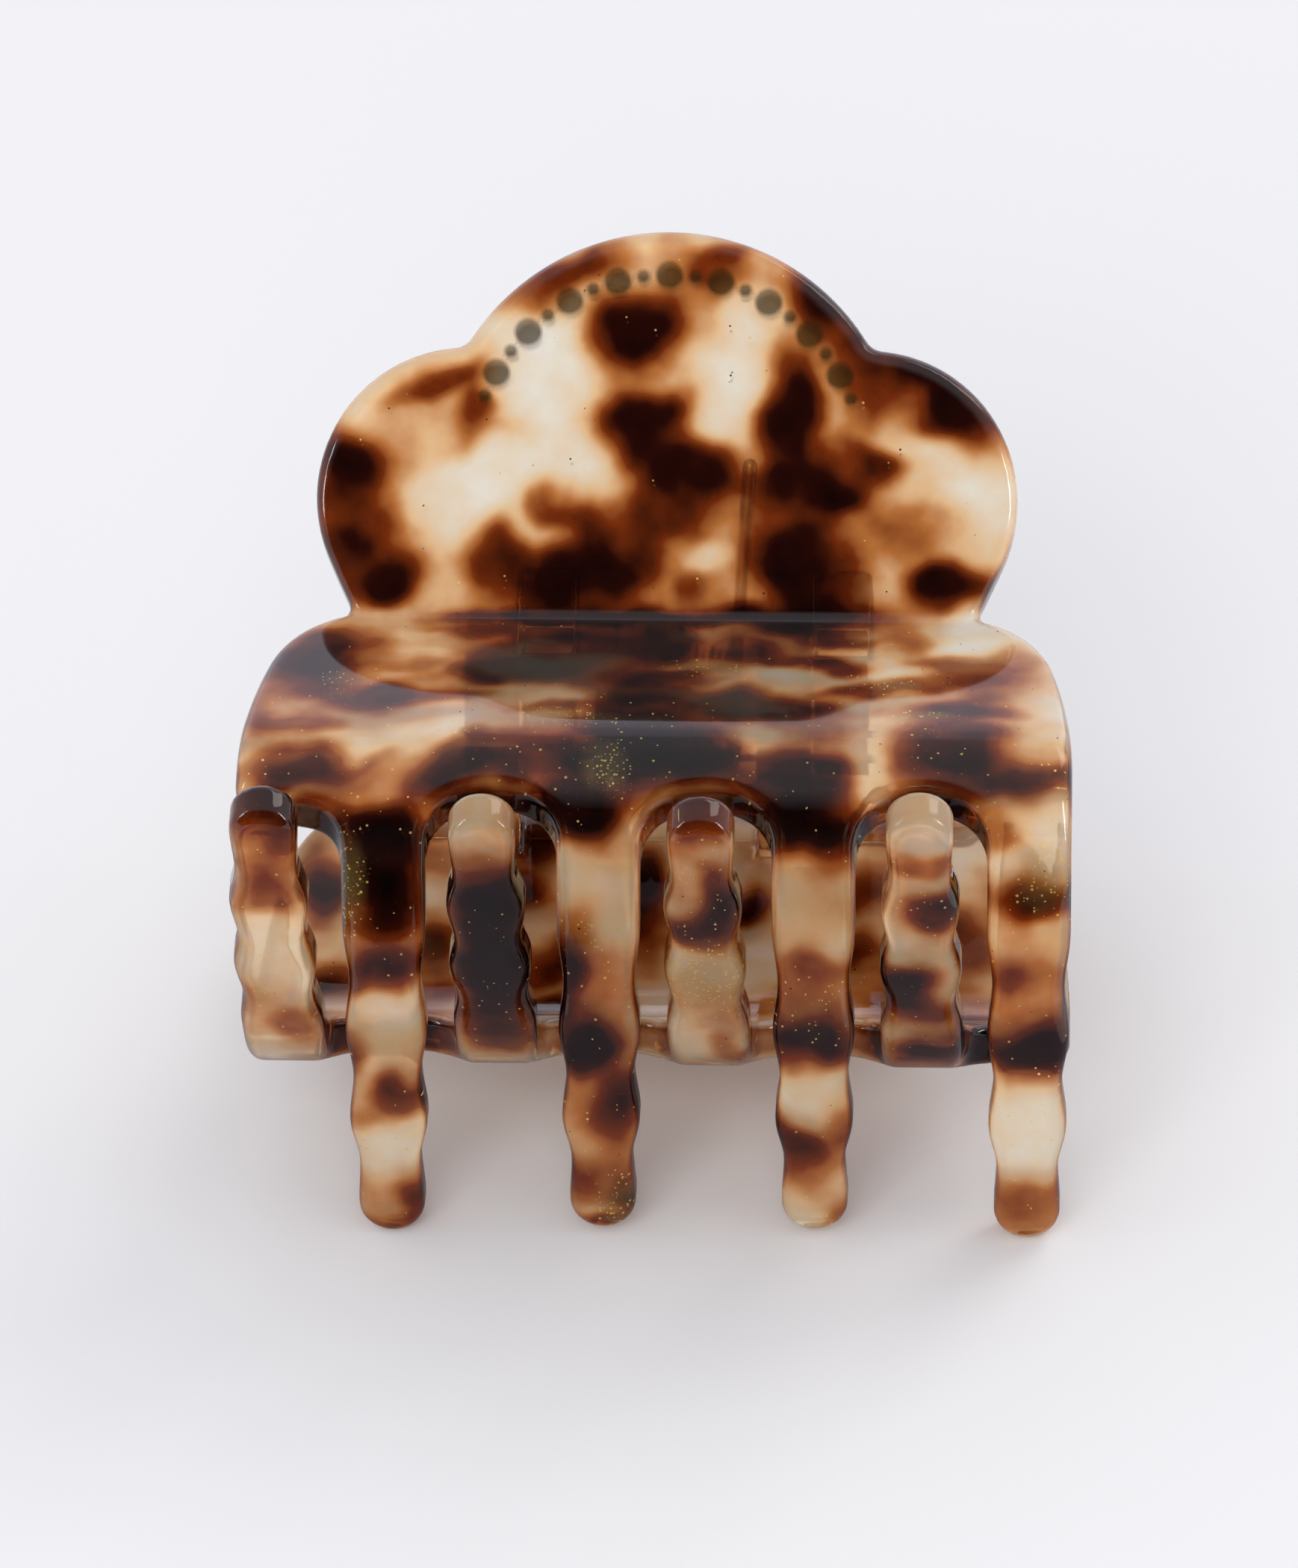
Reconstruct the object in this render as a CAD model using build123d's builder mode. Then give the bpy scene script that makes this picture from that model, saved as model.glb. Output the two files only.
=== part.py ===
import math
import os

from build123d import *

os.makedirs("parts", exist_ok=True)

# Sizes of one claw, in millimetres and degrees.
# D runs along the clip from the hinge to the teeth, L runs out from the hinge to a claw's back.
tooth_pitch = 15.45
tooth_half = 3.0
half_length = 1.75 * tooth_pitch + tooth_half
wall = 3.2
outer_round = 1.2
inner_round = 0.6

# Side profile: flap, crease, back, elbow and tooth.
crease_height = 11.6
flap_lean = 40.0
flap_height = 29.2
crease_radius = 1.3
back_slope = 9.7
back_length = 14.6
elbow_radius = 10.7
elbow_sweep = 77.5
tooth_radius = 82.0
spare_length = 3.0

# Cloud shaped grip: one wide lobe over two side lobes.
top_lobe_radius = 17.3
side_lobe_radius = 11.0
side_lobe_offset = 14.8
side_lobe_height = 9.1
side_lobe_drop = 4.5
notch_round = 1.6
neck_half = 22.7
neck_height = 0.1
neck_round = 1.0

# Shoulders of the back, as seen square to the mould's opening direction.
outline_pull = 60.0
shoulder_half = 28.6
shoulder_drop = 5.3
front_drop = 15.4

# Arches and teeth. The arches start at a share of the way round the elbow.
# Each wave is a share of the tooth's half width and a share of its length. The end teeth are longer.
arch_pull = 85.0
arch_share = 0.423
end_arch_drop = 1.1
end_arch_sag = 0.25
end_arch_corner = 2.7
end_arch_round = 1.5
arch_half = tooth_pitch / 2 - tooth_half
arch_rise = 3.2
tooth_pull = 10.0
wave_drop = 2.9
tooth_length = 25.3
end_tooth_length = 25.9
tooth_waves = [(0.867, 0.168), (0.987, 0.316), (0.82, 0.464), (0.94, 0.608), (0.74, 0.752), (0.8, 0.904)]

# Grip dots moulded on the inner face of each flap.
dot_count = 19
dot_step = 7.6
dot_inset = 2.8
big_dot = 1.05
small_dot = 0.53
dot_rise = 0.4

# Hinge. The ears stand at each side of the spring, one claw's ear inside the other's.
pin_depth = -3.0
pin_radius = 1.0
pin_overhang = 0.5
pin_chamfer = 0.3
pin_play = 0.08
ear_radius = 3.1
ear_width = 4.0
ear_reach = 6.5
ear_back = 1.5
ear_root = 0.6
ear_gap = 0.3
wire_radius = 0.55
coil_radius = 3.0
coil_gap = 0.1
coil_turns = 8
coil_room = 1.2
leg_reach = 12.0
leg_gap = 0.05


def across(angle):
    """Unit vector at this angle from D towards L, with the clip level."""
    turn = math.radians(angle)
    return Vector(0, -math.cos(turn), math.sin(turn))


def spot(depth, level, x=0.0):
    """Point from its place along D and L and its x."""
    return Vector(x, 0, 0) + across(0) * depth + across(90) * level


def pull_plane(angle, depth=0.0, level=0.0):
    """Plane facing out at this angle from D, with its own x along the world's x."""
    return Plane(origin=spot(depth, level), x_dir=(1, 0, 0), z_dir=across(angle))


def fall(angle, depth, level):
    """How far a place on the profile is up the plane that faces out at this angle."""
    turn = math.radians(angle)
    return level * math.cos(turn) - depth * math.sin(turn)


profile_plane = Plane(origin=(0, 0, 0), x_dir=across(0), z_dir=(-1, 0, 0))
lean = math.radians(flap_lean)
slope = math.radians(back_slope)
crease_turn = flap_lean + back_slope
crease_run = crease_radius * math.tan(math.radians(crease_turn) / 2)


def flap_point(height, inset):
    """Place along D and L of a point this far up the flap and this far inside its outer skin."""
    return (-height * math.cos(lean) - inset * math.sin(lean),
            crease_height + height * math.sin(lean) - inset * math.cos(lean))


pin_plane = Plane(origin=spot(pin_depth, 0), z_dir=(1, 0, 0))
flap_inner = Plane(origin=spot(*flap_point(0, wall)), x_dir=(1, 0, 0), z_dir=across(270 - flap_lean))
outline_skew = math.radians(outline_pull + flap_lean - 90)
top_lobe_height = flap_height * math.cos(outline_skew) - top_lobe_radius

# The spring's legs leave the coil where they are square to its radius and end at the flaps.
leg_foot = flap_point(leg_reach, wall + wire_radius + leg_gap)
foot_gap = math.hypot(leg_foot[0] - pin_depth, leg_foot[1])
foot_turn = math.degrees(math.atan2(leg_foot[1], leg_foot[0] - pin_depth))
lead = foot_turn - math.degrees(math.acos(coil_radius / foot_gap))
leg_length = math.sqrt(foot_gap**2 - coil_radius**2)
coil_pitch = 2 * wire_radius + coil_gap
coil_length = (coil_turns + 2 * lead / 360) * coil_pitch
inner_ear = coil_length / 2 + wire_radius + coil_room
outer_ear = inner_ear + ear_width + ear_gap
pin_length = 2 * (outer_ear + ear_width + pin_overhang)

# The grip dots follow the wide lobe's edge.
dot_arc = top_lobe_radius - dot_inset
dot_centre = (top_lobe_height - wall * math.sin(outline_skew)) / math.cos(outline_skew)


def skin(inset):
    """Edges of the profile from the flap's edge to the tooth tip, this far inside the outer skin."""
    reach = flap_height + spare_length
    start = flap_point(reach, inset)
    end = flap_point(crease_run, inset)
    flap = Edge.make_line(start, end)
    crease = JernArc(end, flap % 1, crease_radius + inset, crease_turn).edge()
    stop = (crease @ 1) + Vector(math.cos(slope), math.sin(slope)) * (back_length - crease_run)
    back = Edge.make_line(crease @ 1, stop)
    elbow = JernArc(stop, back % 1, elbow_radius - inset, -elbow_sweep).edge()
    tooth_sweep = math.degrees((wave_drop + end_tooth_length + 2 * spare_length) / tooth_radius)
    tooth = JernArc(elbow @ 1, elbow % 1, tooth_radius - inset, -tooth_sweep).edge()
    return [flap, crease, back, elbow, tooth]


def is_skin(face, side):
    """Whether a face belongs to the strip's outer (1) or inner (-1) skin, whose faces all run along X."""
    if face.geom_type == GeomType.PLANE:
        runs_along = abs(face.normal_at().X) < 0.001
    elif face.geom_type == GeomType.CYLINDER:
        runs_along = abs(face.axis_of_rotation.direction.X) > 0.999
    else:
        runs_along = False
    return runs_along and side * face.normal_at().dot(across(45)) > 0


# Strip of constant thickness with the side profile of a claw, and a reach beyond all of it.
outer = skin(0)
inner = skin(wall)
far = 3 * half_length

# Round arches that open down between the teeth, and a half arch at one end.
arch_place = outer[3] @ arch_share
arch_top = fall(arch_pull, arch_place.X, arch_place.Y)
end_top = arch_top - end_arch_drop
end_side = -1.25 * tooth_pitch - tooth_half
rim_start = -half_length - spare_length
rim_stop = end_side - end_arch_corner

# The teeth's wavy sides start below the elbow.
elbow_end = outer[3] @ 1
wave_top = fall(tooth_pull, elbow_end.X, elbow_end.Y) - wave_drop

with BuildPart() as arches:
    with BuildSketch(pull_plane(arch_pull)):
        with Locations((-0.75 * tooth_pitch, 0), (0.25 * tooth_pitch, 0), (1.25 * tooth_pitch, 0)):
            with Locations((0, arch_top - arch_rise)):
                Ellipse(arch_half, arch_rise)
            with Locations((0, arch_top - arch_rise)):
                Rectangle(2 * arch_half, far, align=(Align.CENTER, Align.MAX))
        with BuildLine():
            rim = ThreePointArc((rim_start, end_top - end_arch_sag), ((rim_start + rim_stop) / 2, end_top),
                                (rim_stop, end_top - end_arch_sag))
            corner = (end_side, end_top - end_arch_sag - end_arch_corner)
            turn_down = Spline([rim @ 1, corner], tangents=[rim % 1, (0, -1)])
            Polyline(turn_down @ 1, (end_side, end_top - far), (rim_start, end_top - far), rim @ 0)
        make_face()
    extrude(amount=far, both=True)
    split(bisect_by=Plane(origin=across(tooth_pull + 90) * wave_top, z_dir=across(tooth_pull + 90)))


def tooth_outline(length):
    """Outline of one tooth of this length: wavy sides, a raised cosine from wave to wave, and a round tip."""
    stations = [(tooth_half, wave_top)]
    for width_share, length_share in tooth_waves:
        stations.append((width_share * tooth_half, wave_top - length_share * length))
    wavy_side = [stations[0]]
    for (wide, high), (narrow, low) in zip(stations, stations[1:]):
        for step in (0.25, 0.5, 0.75, 1.0):
            blend = (1 - math.cos(math.pi * step)) / 2
            wavy_side.append((wide + (narrow - wide) * blend, high + (low - high) * step))
    with BuildSketch() as tooth:
        with BuildLine():
            right_side = Spline(wavy_side, tangents=[(0, -1), (0, -1)])
            mirror(about=Plane.YZ)
            Line(right_side @ 0, (-tooth_half, wave_top))
            CenterArc((0, wavy_side[-1][1]), wavy_side[-1][0], 180, 180)
        make_face()
    return tooth.sketch


inner_tooth = tooth_outline(tooth_length)
end_tooth = tooth_outline(end_tooth_length)

with BuildPart() as claw:
    with BuildSketch(profile_plane):
        with BuildLine():
            add(outer)
            add(inner)
            Line(outer[0] @ 0, inner[0] @ 0)
            Line(outer[-1] @ 1, inner[-1] @ 1)
        make_face()
    extrude(amount=half_length + spare_length, both=True)

    # Outline of the grip and the shoulders.
    with BuildSketch(pull_plane(outline_pull, 0, crease_height)):
        with BuildLine():
            lobe_side = math.sqrt(side_lobe_radius**2 - side_lobe_drop**2)
            lobe_end = (side_lobe_offset + lobe_side, side_lobe_height - side_lobe_drop)
            neck = (neck_half, neck_height)
            TangentArc(lobe_end, neck, tangent=(-side_lobe_drop, -lobe_side))
            front = TangentArc((half_length, -front_drop), (shoulder_half, -shoulder_drop), tangent=(0, 1))
            TangentArc(front @ 1, neck, tangent=front % 1)
            Polyline((half_length, -front_drop), (half_length, -far), (0, -far))
            Polyline((0, -far), (0, side_lobe_height), (side_lobe_offset, side_lobe_height), lobe_end)
        make_face()
        mirror(about=Plane.YZ)
        with Locations((side_lobe_offset, side_lobe_height), (-side_lobe_offset, side_lobe_height)):
            Circle(side_lobe_radius)
        with Locations((0, top_lobe_height)):
            Circle(top_lobe_radius)
        neck_corners = vertices().filter_by(lambda v: abs(v.Y - neck_height) < 0.01)
        fillet(neck_corners, neck_round)
        fillet(vertices().group_by(Axis.Y)[-1], notch_round)
    extrude(amount=far, both=True, mode=Mode.INTERSECT)

    add(arches.part, mode=Mode.SUBTRACT)
    end_corner = edges().filter_by(lambda e: abs(e.center().X + half_length) < 0.01)
    end_corner = end_corner.filter_by(lambda e: abs((e % 0.5).dot(across(arch_pull))) > 0.99)
    fillet(end_corner, end_arch_round)

    # Wavy sides and round tips of the four teeth.
    with BuildSketch(pull_plane(tooth_pull)):
        with Locations((0, wave_top)):
            Rectangle(2 * far, far, align=(Align.CENTER, Align.MAX))
        with Locations((-1.25 * tooth_pitch, 0), (1.75 * tooth_pitch, 0)):
            add(end_tooth, mode=Mode.SUBTRACT)
        with Locations((-0.25 * tooth_pitch, 0), (0.75 * tooth_pitch, 0)):
            add(inner_tooth, mode=Mode.SUBTRACT)
    extrude(amount=far, both=True, mode=Mode.SUBTRACT)

    # The rims of the outer and the inner skin are rounded over.
    for radius, side in ((outer_round, 1), (inner_round, -1)):
        skin_faces = [face for face in faces() if is_skin(face, side)]
        skin_edges = [edge for face in skin_faces for edge in face.edges()]
        rims = [edge for edge in skin_edges if sum(edge.is_same(other) for other in skin_edges) == 1]
        fillet(rims, radius)

    # Grip dots, low domes in an arc that follows the wide lobe.
    for number in range(dot_count):
        place = number - (dot_count - 1) / 2
        turn = math.radians(place * dot_step)
        foot = big_dot if number % 2 else small_dot
        dome = (foot**2 + dot_rise**2) / (2 * dot_rise)
        spot_on_flap = (dot_arc * math.sin(turn), -dot_centre - dot_arc * math.cos(turn))
        with Locations(flap_inner.offset(dot_rise - dome)):
            with Locations(spot_on_flap):
                Sphere(dome)

    # Two hinge ears reach from the crease's inner face round the pin.
    for ear_side in (outer_ear + ear_width, -inner_ear):
        with BuildSketch(profile_plane.offset(-ear_side)):
            with Locations((pin_depth, 0)):
                Circle(ear_radius)
            with Locations((pin_depth + ear_reach, crease_height - wall / 2),
                           (pin_depth - ear_back, crease_height + ear_back * math.tan(lean) - wall / 5)):
                Circle(ear_root)
            make_hull()
        extrude(amount=ear_width)

# The two claws are the same moulding turned half round the clip's long axis.
# The upper claw swings freely on the pin and the lower one grips it.
with BuildPart() as claw_upper:
    add(claw.part)
    with Locations(pin_plane):
        Cylinder(pin_radius + pin_play, 2 * half_length, mode=Mode.SUBTRACT)

with BuildPart() as claw_lower:
    add(claw.part.rotate(Axis.Y, 180))
    with Locations(pin_plane):
        Cylinder(pin_radius, 2 * half_length, mode=Mode.SUBTRACT)

with BuildPart() as hinge_pin:
    with BuildSketch(pin_plane.offset(-pin_length / 2)):
        Circle(pin_radius)
    extrude(amount=pin_length)
    chamfer(edges().filter_by(GeomType.CIRCLE), pin_chamfer)

# Torsion spring: a close coil round the pin whose legs press on the inner faces of both flaps.
# It is drawn along Z with one leg pointing along Y, then laid along the pin.
with BuildPart() as torsion_spring:
    with BuildLine():
        coil = Helix(coil_pitch, coil_length, coil_radius, lefthand=True)
    with BuildSketch(Plane(origin=coil @ 0, z_dir=coil % 0)):
        Circle(wire_radius)
    sweep(path=coil, is_frenet=True)
    for root, way in ((coil @ 0, (coil % 0) * -1), (coil @ 1, coil % 1)):
        with BuildSketch(Plane(origin=root, z_dir=way)):
            Circle(wire_radius)
        extrude(amount=leg_length)
        with Locations(root + way * leg_length):
            Sphere(wire_radius)
coil_start = spot(pin_depth, 0, coil_length / 2)
torsion_spring.part.move(Plane(origin=coil_start, x_dir=across(lead), z_dir=(-1, 0, 0)).location)

# At rest the upper claw's tooth tips and the lower claw's flap edge share the floor.
shell, _ = claw.part.tessellate(0.02)


def lowest(tilt, side):
    """Height of the lowest point of the upper (1) or the lower (-1) claw at this tilt."""
    turn = math.radians(tilt)
    return min(v.Y * math.sin(turn) + side * v.Z * math.cos(turn) for v in shell)


level, steep = 0.0, flap_lean
for _ in range(30):
    rest_tilt = (level + steep) / 2
    if lowest(rest_tilt, 1) > lowest(rest_tilt, -1):
        level = rest_tilt
    else:
        steep = rest_tilt

# The origin is under the middle of the resting clip, on the floor.
for piece in (claw_upper, claw_lower, hinge_pin, torsion_spring):
    piece.part.move(Location((0, 0, 0), (rest_tilt, 0, 0)))
boxes = [piece.part.bounding_box() for piece in (claw_upper, claw_lower)]
back_and_front = (max(box.max.Y for box in boxes) + min(box.min.Y for box in boxes)) / 2
floor = min(box.min.Z for box in boxes)
for piece in (claw_upper, claw_lower, hinge_pin, torsion_spring):
    piece.part.move(Location((0, -back_and_front, -floor)))

claw_upper.part.label = "claw_upper"
export_step(claw_upper.part, "parts/claw_upper.step")
claw_lower.part.label = "claw_lower"
export_step(claw_lower.part, "parts/claw_lower.step")
hinge_pin.part.label = "hinge_pin"
export_step(hinge_pin.part, "parts/hinge_pin.step")
torsion_spring.part.label = "torsion_spring"
export_step(torsion_spring.part, "parts/torsion_spring.step")
hinge = hinge_pin.part.center()
print(f"rest tilt {rest_tilt:.3f} degrees, hinge at Y {hinge.Y:.4f} and Z {hinge.Z:.4f} mm")
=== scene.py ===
"""Looks for a sprung hair claw clip of tortoiseshell acetate that lies closed on a pale table.

Every length is in millimetres and turns to metres on its way to Blender.
"""

import logging
import math
from dataclasses import dataclass, field
from enum import Enum

import bmesh
import bpy
import numpy as np
from mathutils import Matrix, Vector
from mathutils.bvhtree import BVHTree


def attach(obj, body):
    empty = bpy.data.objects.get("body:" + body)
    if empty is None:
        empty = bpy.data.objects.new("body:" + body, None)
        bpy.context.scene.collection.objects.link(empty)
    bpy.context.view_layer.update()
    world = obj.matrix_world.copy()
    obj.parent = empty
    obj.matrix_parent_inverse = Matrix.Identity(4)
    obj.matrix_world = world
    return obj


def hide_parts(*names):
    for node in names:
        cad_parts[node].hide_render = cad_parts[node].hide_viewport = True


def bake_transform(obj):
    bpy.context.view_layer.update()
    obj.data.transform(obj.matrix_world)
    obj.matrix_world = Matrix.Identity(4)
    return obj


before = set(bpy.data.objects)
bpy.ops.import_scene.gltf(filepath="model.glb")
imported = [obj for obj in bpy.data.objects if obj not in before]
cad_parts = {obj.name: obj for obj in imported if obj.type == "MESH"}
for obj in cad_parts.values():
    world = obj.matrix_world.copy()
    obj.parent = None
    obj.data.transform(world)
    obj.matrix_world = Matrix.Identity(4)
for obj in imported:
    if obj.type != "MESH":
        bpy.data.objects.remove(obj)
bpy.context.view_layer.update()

log = logging.getLogger("claw_clip")

MM = 0.001
Place = tuple[float, float, float]

# The pin's middle, and how far the clip's long axis dips towards the teeth, in degrees, as it lies closed.
HINGE: Place = (0.0, 6.3537, 26.1423)
REST_TILT = 9.632


def linear(code: str) -> tuple[float, float, float, float]:
    """Turn an sRGB hex colour into linear RGBA.

    Args:
        code: Six hex digits after a hash, such as "#f2c080".

    Returns:
        Linear red, green and blue, and an alpha of 1.
    """
    channels = [int(code[i:i + 2], 16) / 255 for i in (1, 3, 5)]
    values = [c / 12.92 if c <= 0.04045 else ((c + 0.055) / 1.055) ** 2.4 for c in channels]
    return values[0], values[1], values[2], 1.0


def add_node(tree: bpy.types.NodeTree, kind: str, settings: dict | None = None,
             links: dict | None = None) -> bpy.types.Node:
    """Add one node with its settings and the links into it.

    Args:
        tree: Node tree to add to.
        kind: Blender's name of the node's type.
        settings: Values by property name, or by input name or number.
        links: Source socket by input name or number.

    Returns:
        The new node.
    """
    node = tree.nodes.new(kind)
    for name, value in (settings or {}).items():
        if isinstance(name, str) and hasattr(node, name):
            setattr(node, name, value)
        else:
            node.inputs[name].default_value = value
    for name, socket in (links or {}).items():
        tree.links.new(socket, node.inputs[name])
    return node


def new_material(name: str) -> tuple[bpy.types.Material, bpy.types.NodeTree, bpy.types.Node]:
    """Make a node material with a bare output.

    Args:
        name: Name of the material.

    Returns:
        The material, its node tree and its output node.
    """
    material = bpy.data.materials.new(name)
    material.use_nodes = True
    tree = material.node_tree
    tree.nodes.clear()
    return material, tree, tree.nodes.new("ShaderNodeOutputMaterial")


def smooth(edge: float, full: float, value: np.ndarray) -> np.ndarray:
    """Rise smoothly from 0 at one value to 1 at another.

    Args:
        edge: Value at which the result is 0.
        full: Value at which the result is 1.
        value: Values to look up.

    Returns:
        The result for each value.
    """
    share = np.clip((value - edge) / (full - edge), 0, 1)
    return share * share * (3 - 2 * share)


def ripple(x: np.ndarray, y: np.ndarray, wavelength: float, seed: int) -> np.ndarray:
    """Smooth random field of about -1 to 1 over a flat sheet.

    Args:
        x: Places across the sheet.
        y: Places along the sheet.
        wavelength: Typical distance from one crest to the next.
        seed: Seed of the random waves.

    Returns:
        The field's value at each place.
    """
    draw = np.random.default_rng(seed)
    waves = 9
    total = np.zeros_like(x)
    for _ in range(waves):
        turn, start = draw.uniform(0, 2 * math.pi, 2)
        rate = 2 * math.pi / (wavelength * draw.uniform(0.7, 1.5))
        total += np.sin(rate * (x * math.cos(turn) + y * math.sin(turn)) + start)
    return total / math.sqrt(waves)


class Claw(Enum):
    """The two claws, by the name that their node and body end in."""

    UPPER = "upper"
    LOWER = "lower"


@dataclass(frozen=True)
class Cloud:
    """One cloud of pigment in the acetate, placed on the flattened skin of a claw.

    The skin is laid flat from the grip's edge to the tooth tips. A negative depth clears pigment away, and
    the turn is in degrees.
    """

    x: float
    along: float
    wide: float
    tall: float
    depth: float
    turn: float = 0.0

    def cover(self, x: np.ndarray, along: np.ndarray) -> np.ndarray:
        """Say how far each place is inside the cloud.

        Args:
            x: Places across the claw.
            along: Places along the claw.

        Returns:
            From 0 outside to 1 in the middle.
        """
        turn = math.radians(self.turn)
        right, up = x - self.x, self.along - along
        level = (right * math.cos(turn) + up * math.sin(turn)) / self.wide
        steep = (up * math.cos(turn) - right * math.sin(turn)) / self.tall
        reach = np.hypot(level, steep)
        # A soft body with a wide faint halo, as pigment bleeds where the swirled block was pressed.
        return 0.7 * smooth(1.7, 0.3, reach) + 0.3 * smooth(2.7, 0.6, reach)


# Two long flat dark bands across the crease, in UPPER_GRIP, are painted shade where the hinge meets the grip,
# not pigment.
# Pigment clouds by part of the claw, judged one by one: x, along, half width, half length, depth and turn.
UPPER_GRIP = (
    (-7.5, -25.5, 4.0, 1.4, 0.75, 28), (-2.5, -21.3, 3.4, 2.6, 0.92, 20), (-2.0, -14.6, 3.0, 2.4, 0.92, 15),
    (1.5, -11.3, 3.2, 2.1, 0.85, 0), (0.0, -7.5, 3.2, 2.4, 0.72, 0), (9.1, -15.8, 1.9, 4.2, 0.92, 0),
    (3.5, -25.8, 2.4, 1.7, 0.55, 0), (4.0, -27.5, 1.7, 0.7, 0.50, 0), (11.5, -23.3, 4.2, 1.7, 0.82, -40),
    (20.3, -16.3, 5.4, 2.0, 0.92, -38), (15.5, -11.5, 2.2, 1.2, 0.78, -5), (9.8, -9.8, 4.4, 1.5, 0.75, -5),
    (13.0, -9.0, 2.2, 1.4, 0.75, 0), (9.5, -4.2, 4.0, 3.6, 0.92, 0), (20.8, -2.6, 2.8, 1.6, 0.88, 15),
    (18.3, -6.8, 3.4, 2.1, 0.42, 20), (-23.5, -11.3, 2.3, 2.4, 0.90, 0), (-23.0, -6.8, 2.8, 2.6, 0.62, 0),
    (-20.6, -2.7, 2.8, 1.8, 0.85, 10), (-24.0, -4.5, 1.6, 1.8, 0.65, 0), (-12.6, -4.6, 2.2, 2.4, 0.66, 0),
    (-6.8, -3.0, 4.8, 2.6, 0.90, 8), (-8.2, -8.5, 2.6, 1.2, 0.62, -35), (-5.4, -6.2, 1.6, 1.9, 0.50, 0),
    (-14.0, -15.5, 1.4, 1.5, 0.68, 0), (-17.0, -17.5, 3.2, 1.1, 0.66, 22), (-12.0, -13.5, 2.7, 0.8, 0.40, 8),
    (-17.5, -13.5, 3.7, 2.7, 0.26, 0), (-20.0, -8.0, 1.7, 3.0, 0.30, 0), (2.5, -2.5, 1.4, 1.0, 0.45, 0),
    (-2.5, -4.0, 2.0, 1.4, 0.40, 0), (14.0, -19.5, 2.0, 2.0, 0.40, 0), (14.5, -15.5, 1.9, 2.4, 0.50, 0),
    # The last cloud on the line below and the first on the line after it are the crease bands of painted
    # shade.
    (11.5, -12.5, 2.0, 1.4, 0.35, 0), (0.5, -26.5, 2.0, 1.7, 0.32, 0), (-6.5, 0.5, 8.7, 1.0, 0.88, 0),
    (8.0, 0.0, 6.7, 1.0, 0.82, 0), (3.0, -4.8, 1.6, 1.1, -0.60, 0), (-12.5, -10.5, 4.5, 2.4, -0.75, 25),
    (-8.5, -17.5, 2.6, 4.0, -0.75, 0), (4.3, -17.0, 2.0, 3.0, -0.60, 0), (23.0, -10.0, 2.0, 2.6, -0.70, 0),
)
UPPER_BACK = (
    (-25.5, 6.5, 4.0, 4.0, 0.90, -10), (-20.0, 11.5, 3.6, 1.6, 0.90, 0), (-23.0, 3.5, 2.3, 1.2, 0.60, 0),
    (-7.0, 5.0, 6.3, 3.3, 0.86, 0), (-9.0, 7.5, 4.2, 1.5, 0.70, 5), (-13.0, 8.0, 2.1, 1.0, 0.50, 0),
    (-1.5, 10.5, 3.0, 2.2, 0.78, 0), (-2.4, 3.4, 2.4, 1.4, 0.60, 0), (-26.0, 15.2, 3.4, 1.1, 0.60, 0),
    (-29.0, 13.0, 1.7, 2.4, 0.50, 20), (11.0, 1.0, 3.1, 2.3, 0.90, 0), (0.5, 3.0, 2.0, 3.0, 0.85, 0),
    (5.5, 4.5, 2.3, 1.7, 0.75, 0), (18.0, 3.0, 1.6, 1.9, 0.50, 0), (13.0, 7.0, 2.3, 1.2, 0.75, 0),
    (22.5, 8.0, 2.7, 1.3, 0.60, -8), (18.0, 9.5, 2.5, 1.1, 0.50, 5), (5.0, 12.0, 4.3, 1.9, 0.85, 0),
    (22.0, 12.7, 3.4, 1.1, 0.85, 0), (24.0, 10.0, 1.8, 1.9, 0.50, 0), (25.5, 5.5, 1.6, 1.9, 0.50, 0),
    (8.7, 12.9, 4.4, 1.5, 0.85, 0), (-2.3, 14.4, 3.6, 1.3, 0.80, 0), (-10.4, 8.6, 3.4, 0.9, 0.60, 0),
    (8.5, 5.5, 3.4, 0.8, 0.55, -6), (14.5, 10.2, 3.2, 0.7, 0.55, 4), (-15.0, 11.0, 3.2, 0.8, 0.50, 0),
    (-6.5, 12.6, 3.2, 0.7, 0.55, 0), (12.5, 3.8, 2.6, 0.7, 0.50, 8), (20.0, 6.0, 2.8, 0.6, 0.45, -6),
    (-17.5, 7.0, 2.4, 0.7, 0.45, 10), (-14.0, 2.2, 3.0, 0.6, 0.45, -5), (2.0, 8.4, 2.6, 0.7, 0.55, 0),
)
UPPER_CREST = (
    (-24.5, 19.5, 4.9, 1.7, 0.88, 5), (-15.0, 19.5, 3.0, 1.6, 0.85, 40), (-4.0, 18.0, 5.0, 2.3, 0.90, 0),
    (0.0, 16.5, 3.0, 1.8, 0.82, 0), (3.0, 18.0, 4.5, 2.5, 0.90, 0), (12.5, 15.5, 2.3, 1.0, 0.35, 0),
    (21.5, 17.5, 4.3, 3.0, 0.92, 0), (10.5, 19.5, 3.5, 1.9, 0.88, 0), (26.5, 20.0, 3.7, 1.4, 0.82, 5),
    (24.5, 24.0, 2.3, 1.2, 0.50, 0), (-19.5, 23.5, 2.3, 1.2, 0.50, 0), (-11.3, 17.6, 2.4, 1.9, 0.70, 0),
    (7.2, 16.6, 1.5, 1.5, -0.55, 30), (-20.3, 17.6, 2.2, 1.1, -0.60, 30), (15.6, 18.0, 1.6, 3.2, -0.60, 0),
)
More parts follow.
